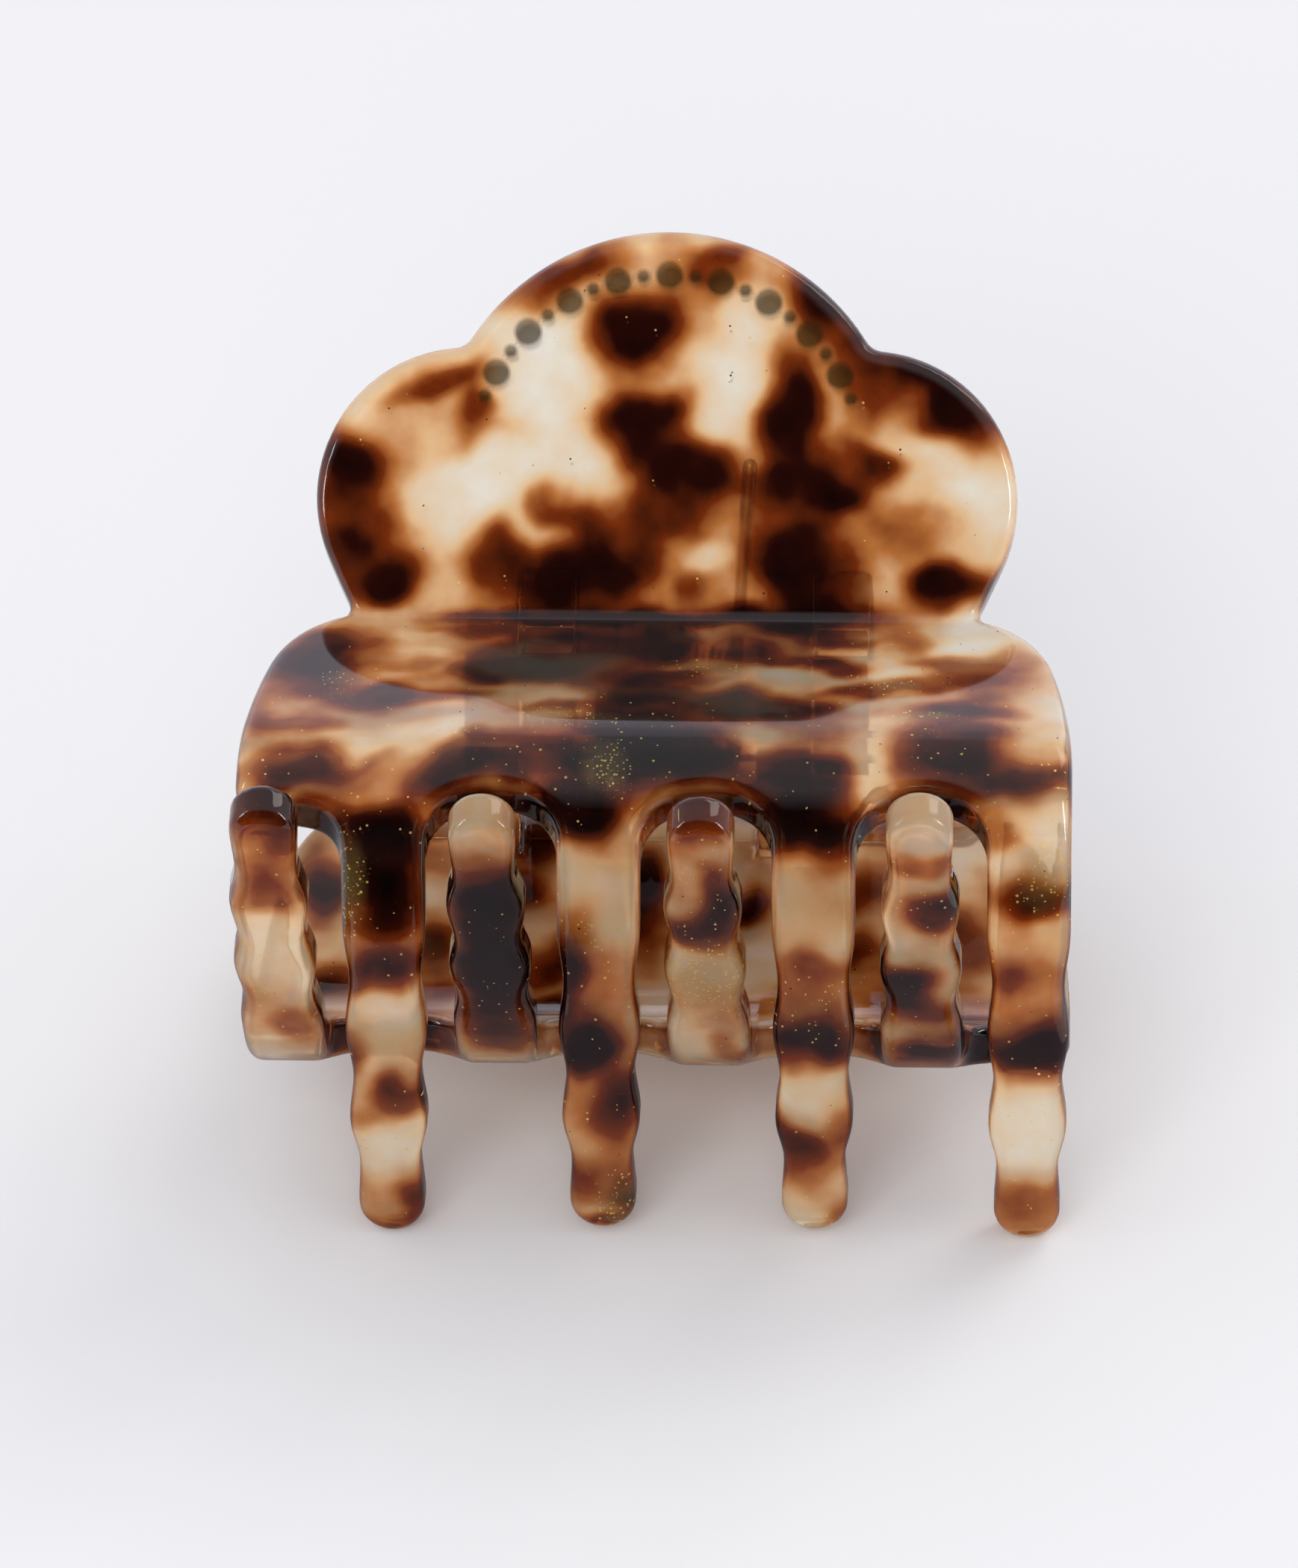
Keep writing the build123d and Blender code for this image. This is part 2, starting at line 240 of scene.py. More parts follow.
UPPER_TEETH = (
    (-19.5, 25.0, 3.5, 2.2, 0.90, 0), (-20.0, 28.0, 3.2, 2.1, 0.92, 0), (-18.5, 30.0, 2.0, 2.0, 0.70, 0),
    (-23.5, 23.4, 2.6, 1.2, 0.60, 0), (-12.0, 21.6, 2.6, 0.9, 0.45, 0), (19.8, 21.4, 2.0, 0.9, 0.45, 0),
    (-19.5, 31.5, 2.2, 1.0, 0.50, 0), (-19.5, 35.0, 2.4, 1.7, 0.80, 25), (-19.5, 38.5, 2.4, 1.5, -0.55, 0),
    (-22.0, 42.0, 1.1, 1.6, 0.60, 0), (-18.0, 45.5, 2.2, 1.7, 0.75, 20), (-21.5, 47.5, 1.4, 1.1, 0.40, 0),
    (-19.5, 50.5, 3.0, 2.2, -0.70, 0), (-17.5, 54.0, 1.1, 2.2, 0.75, 0), (-20.5, 54.0, 2.4, 1.8, 0.25, 0),
    (-19.0, 57.0, 2.2, 0.8, 0.45, 0),
    (-5.0, 22.5, 3.4, 2.2, 0.94, 0), (-5.0, 31.0, 1.4, 1.5, 0.20, 0), (-6.2, 35.8, 1.5, 3.0, 0.78, 0),
    (-3.5, 36.5, 1.8, 3.0, 0.35, 0), (-5.0, 41.0, 2.6, 2.0, 0.90, 0), (-2.5, 46.5, 1.8, 3.1, 0.75, 0),
    (-5.5, 45.5, 1.4, 1.7, 0.20, 0), (-5.0, 52.5, 2.4, 1.8, 0.55, 0), (-2.0, 54.5, 1.0, 1.7, 0.80, 0),
    (-3.5, 56.5, 1.7, 0.7, 0.60, 0),
    (11.5, 23.5, 3.5, 2.6, 0.95, 0), (11.5, 34.5, 2.9, 1.5, 0.50, 0), (11.0, 37.5, 2.9, 1.3, 0.25, 0),
    (11.5, 40.5, 3.1, 2.1, 0.92, 0), (11.5, 45.0, 2.8, 2.2, -0.45, 0), (10.0, 49.0, 2.3, 1.5, 0.75, -20),
    (13.5, 47.5, 1.2, 1.5, 0.60, 0), (11.5, 51.5, 2.6, 1.5, 0.35, 0), (13.0, 55.5, 1.0, 1.4, 0.50, 0),
    (28.0, 25.0, 2.2, 2.2, -0.50, 0), (27.5, 29.0, 2.9, 1.5, 0.85, 0), (25.5, 35.0, 1.4, 1.8, 0.60, 0),
    (28.5, 35.0, 1.2, 1.3, 0.25, 0), (27.5, 38.0, 2.4, 1.1, 0.20, 0), (27.5, 41.0, 3.1, 2.0, 0.92, 0),
    (27.0, 49.0, 3.2, 3.5, -0.80, 0), (27.0, 53.5, 2.8, 1.4, 0.60, 0), (27.0, 56.0, 2.4, 1.2, 0.40, 0),
)
LOWER_TEETH = (
    (27.5, 58.2, 2.3, 2.2, 0.66, 0), (25.5, 56.0, 1.1, 1.5, 0.60, 0), (26.5, 53.0, 2.1, 1.5, 0.30, 0),
    (27.0, 49.5, 2.5, 2.0, 0.75, 0), (27.5, 43.5, 2.4, 3.5, -0.50, 0), (29.5, 36.5, 1.7, 2.0, 0.30, 0),
    (25.5, 32.5, 1.7, 2.5, 0.50, 0),
    (12.0, 53.0, 2.2, 1.4, 0.30, 0), (10.6, 49.0, 2.4, 3.4, 0.85, 0), (12.6, 47.5, 1.6, 2.4, 0.45, 0),
    (11.0, 41.0, 3.3, 7.5, 0.95, 0), (11.5, 31.5, 2.2, 2.0, 0.60, 0),
    (-4.0, 58.2, 2.1, 2.2, 0.66, 0), (-5.0, 49.5, 1.4, 3.1, 0.80, 0), (-3.5, 46.0, 1.7, 1.9, 0.75, 30),
    (-2.5, 56.0, 1.4, 1.6, 0.30, 0), (-4.3, 39.5, 2.8, 4.0, 0.08, 0), (-5.0, 29.0, 1.4, 2.6, 0.50, 0),
    (-19.5, 53.5, 2.4, 1.0, 0.50, 0), (-21.0, 48.5, 1.8, 1.8, 0.80, 20), (-18.0, 39.0, 2.0, 3.0, 0.90, -30),
    (-19.5, 57.5, 2.4, 1.5, -0.40, 0), (-19.5, 36.0, 1.9, 1.9, 0.60, 0), (-20.0, 29.5, 2.6, 2.6, 0.85, 15),
)
LOWER_INSIDE = (
    (17.0, 11.0, 1.6, 2.1, 0.80, 0), (9.5, 14.0, 1.5, 1.8, 0.60, 0), (1.5, 5.0, 1.8, 2.7, 0.90, 0),
    (1.5, 12.5, 1.5, 1.8, 0.40, 0), (17.0, 16.5, 1.5, 2.1, 0.60, 0), (-6.0, 2.5, 1.5, 1.8, 0.30, 0),
    (-6.0, 7.5, 1.6, 1.8, 0.85, 0), (-15.0, 11.5, 1.5, 1.8, 0.75, 0), (-23.0, 12.0, 1.5, 1.8, 0.60, 0),
    (-23.0, 16.5, 1.5, 2.0, 0.50, 0), (25.5, 6.0, 1.8, 3.0, 0.85, 0),
)

# Patches where gold dust lies close under the skin: x, along, half width, half length, thickness.
UPPER_GOLD = (
    (-22.0, 28.5, 1.1, 2.8, 1.0), (-3.5, 19.0, 1.3, 1.6, 0.8), (28.0, 27.0, 1.8, 2.2, 0.8),
    (-2.6, 55.0, 1.3, 2.2, 0.7), (-23.0, 9.0, 1.2, 0.8, 0.8), (-15.5, 15.0, 3.0, 1.0, 0.4),
    (-7.5, 14.0, 4.5, 0.8, 0.6), (4.5, 7.0, 2.5, 0.7, 0.6), (16.5, 9.0, 2.5, 0.8, 0.5),
    (19.0, 13.5, 2.0, 0.7, 0.7), (11.5, 38.0, 2.5, 2.5, 0.25), (-5.0, 32.0, 2.2, 1.6, 0.3),
)
LOWER_GOLD = (
    (-4.3, 40.0, 2.8, 3.4, 1.0), (27.5, 38.0, 2.0, 2.0, 0.4),
    (-3.5, 52.0, 2.2, 5.0, 0.15), (-19.5, 52.0, 2.2, 5.0, 0.12),
)


@dataclass(frozen=True)
class Pigment:
    """Where the pigment of one claw lies: clouds charted by part, drifting ones elsewhere, and gold dust."""

    charted: tuple
    gold: tuple
    drifting: int
    seed: int
    base: float = 0.08
    tooth_base: float = 0.20
    tooth_root: tuple[float, float] = (22, 31)
    unevenness: float = 0.07
    clearest: float = 0.97
    loose_dust: float = 0.035

    def clouds(self) -> list[Cloud]:
        """List the claw's clouds.

        Returns:
            The charted clouds, and random ones over the grip and back where none is charted.
        """
        clouds = [Cloud(*row) for row in self.charted]
        draw = np.random.default_rng(self.seed)
        while len(clouds) < len(self.charted) + self.drifting:
            x, along = draw.uniform(-28, 28), draw.uniform(-29, 26)
            wide, tall = draw.uniform(1.8, 4.2), draw.uniform(1.2, 2.8)
            depth, turn = draw.uniform(0.45, 0.95), draw.uniform(-45, 45)
            gaps = (math.hypot(c.x - x, c.along - along) - 0.9 * (wide + c.wide) for c in clouds)
            if min(gaps, default=0) >= 0:
                clouds.append(Cloud(x, along, wide, tall, depth, turn))
        return clouds

    def tone(self, x: np.ndarray, along: np.ndarray) -> np.ndarray:
        """Work out how clear the acetate is at each place.

        Args:
            x: Places across the claw.
            along: Places along the claw.

        Returns:
            From 0, almost black, to 1, clear.
        """
        # The clouds' rims wander by about half a millimetre.
        drawn_x = (x + 0.5 * ripple(x, along, 6.0, self.seed + 1)
                   + 0.05 * ripple(x, along, 2.4, self.seed + 2))
        drawn_along = (along + 0.4 * ripple(x, along, 5.0, self.seed + 3)
                       + 0.05 * ripple(x, along, 2.2, self.seed + 4))
        clear = 1 - self.base - (self.tooth_base - self.base) * smooth(*self.tooth_root, along)
        clear -= self.unevenness * ripple(x, along, 9.0, self.seed + 5)
        # Fine streaks across the flat back are painted reflection: they stand for the grip's pattern mirrored
        # in the back's gloss.
        painted_reflection_streaks = smooth(0, 3, along) * smooth(17, 13, along)
        clear -= self.unevenness * painted_reflection_streaks * ripple(x / 3.5, along, 2.4, self.seed + 7)
        clouds = self.clouds()
        for cloud in clouds:
            if cloud.depth > 0:
                clear *= 1 - cloud.depth * cloud.cover(drawn_x, drawn_along)
        for cloud in clouds:
            if cloud.depth < 0:
                clear += (self.clearest - clear) * -cloud.depth * cloud.cover(drawn_x, drawn_along)
        return np.clip(clear, 0, 1)

    def glitter(self, x: np.ndarray, along: np.ndarray) -> np.ndarray:
        """Work out how thick the gold dust lies at each place.

        Args:
            x: Places across the claw.
            along: Places along the claw.

        Returns:
            From 0, none, to 1, thick.
        """
        total = self.loose_dust * smooth(8, 16, along)
        for patch in (Cloud(*row) for row in self.gold):
            total = np.maximum(total, patch.depth * patch.cover(x, along))
        return total


@dataclass(frozen=True)
class MouldProfile:
    """Side profile of a claw, by which a place on the moulding becomes a place on its flattened skin.

    Depths run towards the teeth, heights out of the skin, and angles are in degrees.
    """

    hinge: Place = HINGE
    pin_depth: float = -3.0
    rest_tilt: float = REST_TILT
    flap_lean: float = 40.0
    crease_height: float = 11.6
    back_slope: float = 9.7
    back_length: float = 14.6
    elbow_radius: float = 10.7
    elbow_sweep: float = 77.5
    tooth_radius: float = 82.0

    def flatten(self, points: np.ndarray,
                claw: Claw) -> tuple[np.ndarray, np.ndarray, np.ndarray, np.ndarray]:
        """Lay places on the moulding flat.

        Args:
            points: Places in the frame, one row each.
            claw: The claw that they are on.

        Returns:
            Places across the claw, places along its skin (negative up the grip, positive down to the teeth),
            the way out of the skin at each, one row each, and how far inside the skin each is at the grip
            and back.
        """
        tilt, lean, slope = (math.radians(v) for v in (self.rest_tilt, self.flap_lean, self.back_slope))
        forward = np.array([0, -math.cos(tilt), -math.sin(tilt)])
        outward = np.array([0, -math.sin(tilt), math.cos(tilt)])
        side = 1 if claw is Claw.UPPER else -1
        local = points - (np.array(self.hinge) - self.pin_depth * forward)
        x, depth, level = side * local[:, 0], local @ forward, side * (local @ outward)

        # The flat grip and back meet at the crease, where along is 0.
        rise = level - self.crease_height
        up_flap = rise * math.sin(lean) - depth * math.cos(lean)
        on_back = depth * math.cos(slope) + rise * math.sin(slope)
        along = np.where(on_back > 0, on_back, np.where(up_flap > 0, -up_flap, 0.0))

        # The back turns down through the elbow's arc, and the teeth follow a wide arc from there.
        elbow_x = self.back_length * math.cos(slope) + self.elbow_radius * math.sin(slope)
        elbow_y = (self.crease_height + self.back_length * math.sin(slope)
                   - self.elbow_radius * math.cos(slope))
        start = math.pi / 2 + slope
        end = start - math.radians(self.elbow_sweep)
        turn = np.arctan2(level - elbow_y, depth - elbow_x)
        past = self.back_length + self.elbow_radius * (start - turn)
        reach = self.elbow_radius - self.tooth_radius
        tooth_turn = np.arctan2(level - elbow_y - reach * math.sin(end),
                                depth - elbow_x - reach * math.cos(end))
        down = self.back_length + self.elbow_radius * (start - end) + self.tooth_radius * (end - tooth_turn)
        along = np.where(on_back > self.back_length, np.where(turn > end, past, down), along)

        facing = np.where(along < 0, math.pi / 2 - lean, math.pi / 2 + slope)
        facing = np.where(along > self.back_length, np.where(turn > end, turn, tooth_turn), facing)
        out = np.outer(np.cos(facing), forward) + side * np.outer(np.sin(facing), outward)
        inset = np.where(along < self.back_length, -depth * np.cos(facing) - rise * np.sin(facing), 0)
        return x, along, out, inset


@dataclass(frozen=True)
class GripDots:
    """Low domes in an arc on the grip's inner face. Through the grip they show as dark olive discs of painted
    shade.

    Big and small ones take turns. The step between them is in degrees of the arc.
    """

    count: int = 19
    step: float = 7.6
    arc: float = 14.5
    centre: float = 11.07
    big: float = 1.05
    small: float = 0.53

    def edge_distance(self, x: np.ndarray, along: np.ndarray) -> np.ndarray:
        """Measure how far each place is outside the nearest dot's edge.

        Args:
            x: Places across the claw.
            along: Places along the claw.

        Returns:
            Distances, negative inside a dot.
        """
        far = 9.0
        nearest = np.full_like(x, far)
        for number in range(self.count):
            turn = math.radians((number - (self.count - 1) / 2) * self.step)
            right, up = self.arc * math.sin(turn), self.centre + self.arc * math.cos(turn)
            size = self.big if number % 2 else self.small
            nearest = np.minimum(nearest, np.hypot(x - right, -along - up) - size)
        return nearest


@dataclass(frozen=True)
class TortoiseshellAcetate:
    """Cellulose acetate, cut from a swirled block, pressed and tumble polished.

    To the eye it is amber glass: pale honey where it is clear, rust round each cloud and nearly black inside
    it, under one sharp gloss, with gold dust and tiny dark bubbles just below the skin.
    """

    stops: tuple[tuple[float, str], ...] = (
        (0.0, "#0c0201"), (0.15, "#2e0a04"), (0.36, "#8a380f"),
        (0.54, "#cf8645"), (0.74, "#fbd3a0"), (1.0, "#fff8ea"),
    )
    gold: str = "#ffde80"
    haze: str = "#96824c"
    bubble: str = "#3a1c0c"
    # The olive of the dots is painted shade, for the light that the grip's domes bend away.
    dot: str = "#33290f"
    ior: float = 1.49
    roughness: float = 0.04
    transmission: float = 0.68
    scatter: float = 0.8
    scatter_mm: float = 1.6
    scatter_reach: tuple[float, float, float] = (1.0, 0.5, 0.28)
    mottle_mm: float = 2.6
    mottle_depth: float = 0.05
    dust_mm: float = 0.24
    dust_size: float = 0.46
    loose_dust: float = 0.004
    bubble_mm: float = 0.9
    bubble_size: float = 0.1
    bubble_share: float = 0.3

    def material(self) -> bpy.types.Material:
        """Build the acetate material.

        Returns:
            The material, patterned by each claw's own flattened skin.
        """
        material, tree, output = new_material("polished_tortoiseshell_acetate")
        skin = add_node(tree, "ShaderNodeAttribute", {"attribute_name": "skin_place"}).outputs["Vector"]
        tone = add_node(tree, "ShaderNodeAttribute", {"attribute_name": "tone"}).outputs["Fac"]
        glitter = add_node(tree, "ShaderNodeAttribute", {"attribute_name": "glitter"}).outputs["Fac"]
        dot_edge = add_node(tree, "ShaderNodeAttribute", {"attribute_name": "dot_edge"}).outputs["Fac"]

        # The charted tone, faintly mottled, picks the colour from the ramp of the block's colours.
        mottle = add_node(tree, "ShaderNodeTexNoise",
                          {"Scale": 1 / self.mottle_mm, "Detail": 2.0, "Roughness": 0.5}, {"Vector": skin})
        shift = add_node(tree, "ShaderNodeMapRange",
                         {"From Min": 0.3, "From Max": 0.7,
                          "To Min": -self.mottle_depth, "To Max": self.mottle_depth},
                         {"Value": mottle.outputs[0]})
        clear = add_node(tree, "ShaderNodeMath", {"operation": "ADD"}, {0: tone, 1: shift.outputs[0]})
        ramp = add_node(tree, "ShaderNodeValToRGB", None, {"Fac": clear.outputs[0]})
        while len(ramp.color_ramp.elements) < len(self.stops):
            ramp.color_ramp.elements.new(0.5)
        for element, (spot, colour) in zip(ramp.color_ramp.elements, self.stops):
            element.position = spot
            element.color = linear(colour)
        colour = ramp.outputs["Color"]

        # The dots on the inner face get olive discs with a soft rim: painted shade for the light that the
        # domes bend away.
        dot_shade_share = add_node(tree, "ShaderNodeMapRange",
                        {"From Min": 0.12, "From Max": -0.2, "To Min": 0.0, "To Max": 0.8},
                        {"Value": dot_edge})
        colour = self.overlay(tree, dot_shade_share.outputs[0], colour, self.dot)

        # Thick dust clouds the acetate to khaki. Its grains are coarser than real ones, so that they show.
        thick = add_node(tree, "ShaderNodeMapRange",
                         {"From Min": 0.15, "From Max": 1.0, "To Min": 0.0, "To Max": 0.5},
                         {"Value": glitter})
        colour = self.overlay(tree, thick.outputs[0], colour, self.haze)
        bubbles = self.specks(tree, skin, self.bubble_mm, self.bubble_size, None, self.bubble_share)
        colour = self.overlay(tree, bubbles, colour, self.bubble)
        dust = self.specks(tree, skin, self.dust_mm, self.dust_size, glitter, self.loose_dust)
        colour = self.overlay(tree, dust, colour, self.gold)

        # Clear enough to glow with the light behind it, and milky enough to scatter the light in front. Red
        # light goes furthest through it, which keeps thin places amber.
        shader = add_node(tree, "ShaderNodeBsdfPrincipled",
                          {"Roughness": self.roughness, "IOR": self.ior,
                           "Transmission Weight": self.transmission, "Subsurface Weight": self.scatter,
                           "Subsurface Radius": self.scatter_reach, "Subsurface Scale": self.scatter_mm * MM},
                          {"Base Color": colour})
        tree.links.new(shader.outputs[0], output.inputs["Surface"])
        return material

    @staticmethod
    def overlay(tree: bpy.types.NodeTree, share: bpy.types.NodeSocket, under: bpy.types.NodeSocket,
                colour: str) -> bpy.types.NodeSocket:
        """Lay a plain colour over another.

        Args:
            tree: The material's node tree.
            share: How far the plain colour covers.
            under: The colour below.
            colour: The plain colour's hex code.

        Returns:
            The mixed colour.
        """
        mix = add_node(tree, "ShaderNodeMix", {"data_type": "RGBA"})
        mix.inputs[7].default_value = linear(colour)
        tree.links.new(share, mix.inputs[0])
        tree.links.new(under, mix.inputs[6])
        return mix.outputs[2]

    @staticmethod
    def specks(tree: bpy.types.NodeTree, skin: bpy.types.NodeSocket, spacing: float, size: float,
               density: bpy.types.NodeSocket | None, least: float) -> bpy.types.NodeSocket:
        """Scatter small round specks.

        Args:
            tree: The material's node tree.
            skin: Place on the flattened skin, in millimetres.
            spacing: Typical distance between cells that may hold a speck.
            size: A speck's radius as a share of the spacing.
            density: Where more cells hold a speck, or None for the same all over.
            least: Share of the cells that hold a speck everywhere.

        Returns:
            1 inside a speck and 0 outside.
        """
        cells = add_node(tree, "ShaderNodeTexVoronoi", {"Scale": 1 / spacing}, {"Vector": skin})
        pick = add_node(tree, "ShaderNodeSeparateColor", None, {"Color": cells.outputs["Color"]})
        radius = add_node(tree, "ShaderNodeMath", {"operation": "MULTIPLY", 1: size}, {0: pick.outputs[1]})
        inside = add_node(tree, "ShaderNodeMath", {"operation": "LESS_THAN"},
                          {0: cells.outputs["Distance"], 1: radius.outputs[0]})
        fullest = 0.9
        share = add_node(tree, "ShaderNodeMapRange", {"To Min": least, "To Max": fullest})
        if density is None:
            share.inputs["Value"].default_value = 0.0
        else:
            tree.links.new(density, share.inputs["Value"])
        chosen = add_node(tree, "ShaderNodeMath", {"operation": "LESS_THAN"},
                          {0: pick.outputs[0], 1: share.outputs[0]})
        both = add_node(tree, "ShaderNodeMath", {"operation": "MULTIPLY"},
                        {0: inside.outputs[0], 1: chosen.outputs[0]})
        return both.outputs[0]


@dataclass(frozen=True)
class DrawnSteel:
    """Drawn carbon steel wire, bright from the die: a cool grey metal with fine lengthwise lines.

    The real lines are hundredths of a millimetre apart, and are drawn coarser so that they show.
    """

    name: str = "bright_drawn_steel_wire"
    colour: str = "#c4c5c8"
    roughness: float = 0.28
    lines_per_mm: float = 5.4
    stretch: float = 15.0
    line_depth_mm: float = 0.02

    def material(self) -> bpy.types.Material:
        """Build the steel material.

        Returns:
            The material.
        """
        material, tree, output = new_material(self.name)
        place = add_node(tree, "ShaderNodeTexCoord")
        lines = add_node(tree, "ShaderNodeMapping", {"Scale": (1 / self.stretch, 1.0, 1.0)},
                         {"Vector": place.outputs["Object"]})
        grain = add_node(tree, "ShaderNodeTexNoise", {"Scale": self.lines_per_mm / MM, "Detail": 2.0},
                         {"Vector": lines.outputs[0]})
        rough = add_node(tree, "ShaderNodeMapRange",
                         {"To Min": self.roughness - 0.06, "To Max": self.roughness + 0.1},
                         {"Value": grain.outputs[0]})
        bump = add_node(tree, "ShaderNodeBump", {"Strength": 0.15, "Distance": self.line_depth_mm * MM},
                        {"Height": grain.outputs[0]})
        shader = add_node(tree, "ShaderNodeBsdfPrincipled",
                          {"Metallic": 1.0, "Base Color": linear(self.colour)},
                          {"Roughness": rough.outputs[0], "Normal": bump.outputs[0]})
        tree.links.new(shader.outputs[0], output.inputs["Surface"])
        return material


@dataclass
class TorsionSpring:
    """Close-wound wire coil round the pin, with a straight leg to each grip's inner face.

    The wire and coil are radii, and the lead is the angle, in degrees, at which each leg leaves the coil.
    """

    finish: bpy.types.Material
    hinge: Place = HINGE
    rest_tilt: float = REST_TILT
    wire: float = 0.55
    coil: float = 3.0
    pitch: float = 1.2
    turns: int = 8
    lead: float = 37.07
    leg: float = 18.29
    sides: int = 16
    steps_per_turn: int = 40
    leg_steps: int = 12
    tip_steps: int = 6

    @property
    def wound(self) -> float:
        """Turns of the coil, counting the part turns up to the legs."""
        return self.turns + 2 * self.lead / 360

    def centre_line(self) -> tuple[np.ndarray, np.ndarray]:
        """Work out the line that the wire follows.

        Returns:
            Points along the line, and the wire's radius at each.
        """
        tilt = math.radians(self.rest_tilt)
        forward = np.array([0, -math.cos(tilt), -math.sin(tilt)])
        outward = np.array([0, -math.sin(tilt), math.cos(tilt)])
        share = np.linspace(0, 1, round(self.wound * self.steps_per_turn))
        angle = math.radians(self.lead) - 2 * math.pi * self.wound * share
        x = (0.5 - share) * self.wound * self.pitch
        around = np.outer(np.cos(angle), forward) + np.outer(np.sin(angle), outward)
        coil = np.array(self.hinge) + self.coil * around + np.outer(x, [1, 0, 0])

        # Each leg leaves the coil straight and ends in a round tip, which is never quite a point.
        first = (coil[0] - coil[1]) / np.linalg.norm(coil[0] - coil[1])
        last = (coil[-1] - coil[-2]) / np.linalg.norm(coil[-1] - coil[-2])
        tip = np.sin(np.linspace(0, math.pi / 2, self.tip_steps))[::-1]
        straight = np.linspace(self.leg, 0, self.leg_steps)[1:-1]
        steps = np.concatenate([self.leg + self.wire * tip, straight])
        rounded = self.wire * np.sqrt(np.clip(1 - tip ** 2, 0.0004, 1))
        width = np.concatenate([rounded, np.full_like(straight, self.wire)])
        line = np.concatenate([coil[0] + np.outer(steps, first), coil,
                               coil[-1] + np.outer(steps[::-1], last)])
        return line, np.concatenate([width, np.full(len(coil), self.wire), width[::-1]])

    def build(self) -> bpy.types.Object:
        """Build the spring as one closed tube that follows the wire.

        Returns:
            The spring's object.
        """
        # A ring of points round every point of the line.
        line, width = self.centre_line()
        way = np.gradient(line, axis=0)
        way /= np.linalg.norm(way, axis=1)[:, None]
        flat = np.cross(way, [1.0, 0, 0])
        flat /= np.linalg.norm(flat, axis=1)[:, None]
        steep = np.cross(way, flat)
        turn = np.linspace(0, 2 * math.pi, self.sides, endpoint=False)
        ring = flat[:, None] * np.cos(turn)[None, :, None] + steep[:, None] * np.sin(turn)[None, :, None]
        points = (line[:, None] + width[:, None, None] * ring).reshape(-1, 3) * MM

        # Each ring is joined to the next, and both ends are closed.
        n = self.sides
        faces = [(i * n + k, i * n + (k + 1) % n, (i + 1) * n + (k + 1) % n, (i + 1) * n + k)
                 for i in range(len(line) - 1) for k in range(n)]
        faces += [tuple(range(n))[::-1], tuple(range((len(line) - 1) * n, len(line) * n))]
        mesh = bpy.data.meshes.new("wire_spring")
        mesh.from_pydata(points.tolist(), [], faces)
        shaped = bmesh.new()
        shaped.from_mesh(mesh)
        bmesh.ops.recalc_face_normals(shaped, faces=shaped.faces)
        shaped.to_mesh(mesh)
        shaped.free()
        mesh.shade_smooth()
        mesh.materials.append(self.finish)
        spring = bpy.data.objects.new("wire_spring", mesh)
        bpy.context.scene.collection.objects.link(spring)
        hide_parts("torsion_spring")
        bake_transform(spring)
        log.info("spring has %d faces", len(faces))
        return spring


